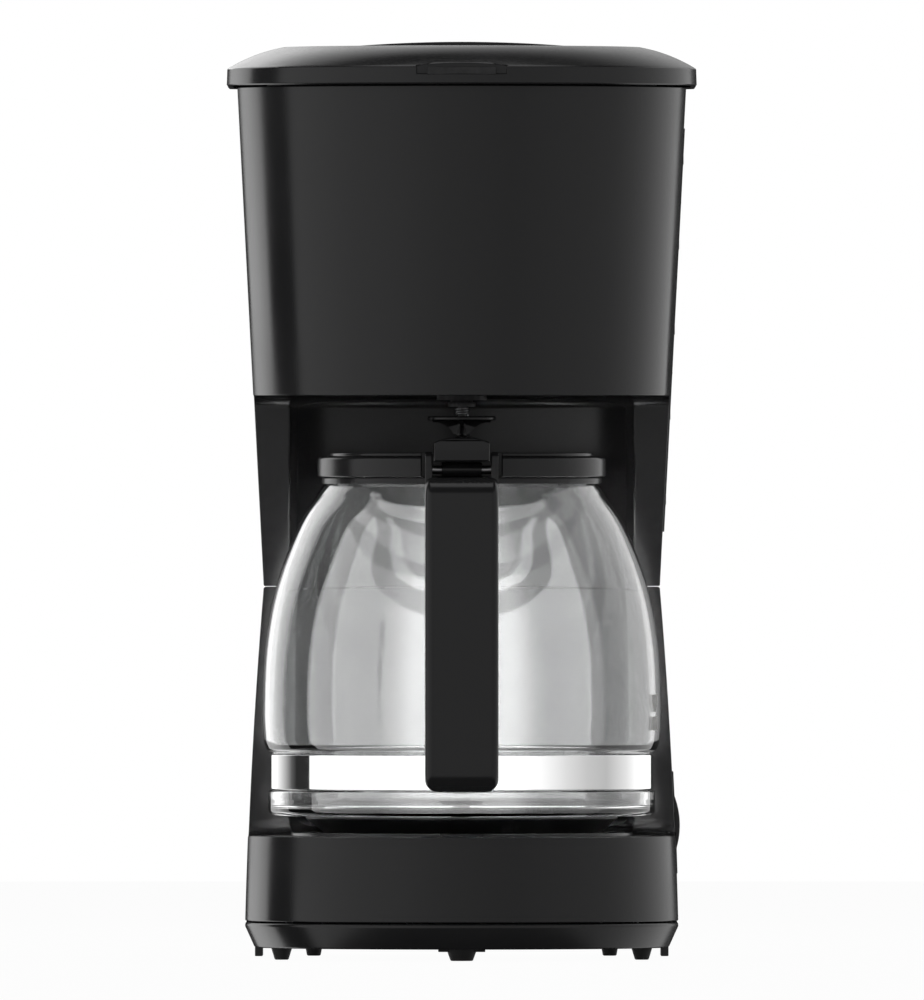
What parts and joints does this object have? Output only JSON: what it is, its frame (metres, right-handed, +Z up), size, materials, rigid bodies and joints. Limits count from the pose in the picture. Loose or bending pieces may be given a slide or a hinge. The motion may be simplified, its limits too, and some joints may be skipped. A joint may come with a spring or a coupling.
{
  "type": "drip coffee maker",
  "caption": "Drip coffee maker with a hinged lid, a round-front filter hood, a glass carafe with a steel band on a warming plate, and a side rocker switch.",
  "frame": {"origin": "on the table, under the middle of the whole object's box, handle included", "axes": "+Z up, -Y towards the user (handle side), +X to the user's right (water window and switch side)"},
  "size_m": [0.1786, 0.248, 0.3497],
  "materials": {
    "tower_plastic": "semi-gloss moulded black, slightly burnished",
    "base_plastic": "semi-gloss moulded black",
    "lid_plastic": "satin black with a soft sheen",
    "handle_plastic": "smooth black, lightly polished",
    "inner_plastic": "matte dark grey food-grade plastic",
    "tank_plastic": "milky translucent polypropylene",
    "window_plastic": "smoked clear window",
    "switch_plastic": "glossy black",
    "carafe_glass": "clear borosilicate glass",
    "band_steel": "mirror-polished stainless steel",
    "plate_coating": "black non-stick coating on pressed steel",
    "cast_aluminium": "as cast",
    "steel": "zinc plated",
    "silicone": "translucent grey silicone",
    "seal_rubber": "black silicone",
    "foot_rubber": "black rubber",
    "filter_mesh": "gold-tinted nylon mesh in a dark frame",
    "sleeve": "woven glass sleeve and leads"
  },
  "bodies": {
    "housing": {"bottom_cover": "base_plastic", "base_housing": "base_plastic", "tower_housing": "tower_plastic", "cover_screws": "steel", "joining_screws": "steel", "side_feet": "foot_rubber", "centre_foot": "foot_rubber", "rear_feet": "foot_rubber", "warming_plate": "plate_coating", "plate_seal": "seal_rubber", "heater_block": "cast_aluminium", "heater_tube": "cast_aluminium", "heating_element": "steel", "heater_bracket": "steel", "bracket_screws": "steel", "thermostat": "inner_plastic", "thermal_fuses": "sleeve", "water_tank": "tank_plastic", "tank_grommet": "silicone", "check_valve": "silicone", "riser_tube": "tank_plastic", "cold_hose": "silicone", "hot_hose": "silicone", "hose_clamps": "steel", "spout_elbow": "inner_plastic", "water_window": "window_plastic", "basket_well": "inner_plastic", "hinge_pins": "steel", "switch_bezel": "switch_plastic", "switch_body": "inner_plastic", "cord_gland": "seal_rubber", "cord_clamp": "inner_plastic", "terminal_block": "sleeve", "inner_leads": "sleeve"},
    "lid": {"top_lid": "lid_plastic", "lid_liner": "inner_plastic", "shower_head": "inner_plastic"},
    "basket": {"filter_basket": "inner_plastic", "reusable_filter": "filter_mesh"},
    "drip_stop": {"drip_stem": "handle_plastic", "drip_seal": "silicone", "drip_spring": "steel"},
    "carafe": {"carafe_glass": "carafe_glass", "carafe_collar": "handle_plastic", "carafe_band": "band_steel", "carafe_handle": "handle_plastic", "handle_screws": "steel", "carafe_lid_pin": "steel"},
    "carafe_lid": {"carafe_lid": "handle_plastic", "thumb_lever": "handle_plastic", "lid_funnel": "handle_plastic"},
    "rocker": {"switch_rocker": "switch_plastic"}
  },
  "joints": [
    {"name": "lid_hinge", "type": "hinge", "parent": "housing", "child": "lid", "pos_m": [0, 0.118, 0.335], "axis": [-1, 0, 0], "range_deg": [0, 95]},
    {"name": "carafe_slide", "type": "slide", "parent": "housing", "child": "carafe", "axis": [0, -1, 0], "range_m": [0, 0.24]},
    {"name": "carafe_lid_hinge", "type": "hinge", "parent": "carafe", "child": "carafe_lid", "pos_m": [0, -0.067, 0.1858], "axis": [1, 0, 0], "range_deg": [0, 9]},
    {"name": "basket_lift", "type": "slide", "parent": "housing", "child": "basket", "axis": [0, 0, 1], "range_m": [0, 0.006]},
    {"name": "drip_stop_slide", "type": "slide", "parent": "basket", "child": "drip_stop", "axis": [0, 0, 1], "range_m": [0, 0.003], "stiffness_N_per_m": 150, "springref_m": -0.003, "deforming": ["drip_spring"]},
    {"name": "switch_rocker_turn", "type": "hinge", "parent": "housing", "child": "rocker", "pos_m": [0.0765, 0.075, 0.0502], "axis": [0, 1, 0], "range_deg": [0, 12]}
  ]
}
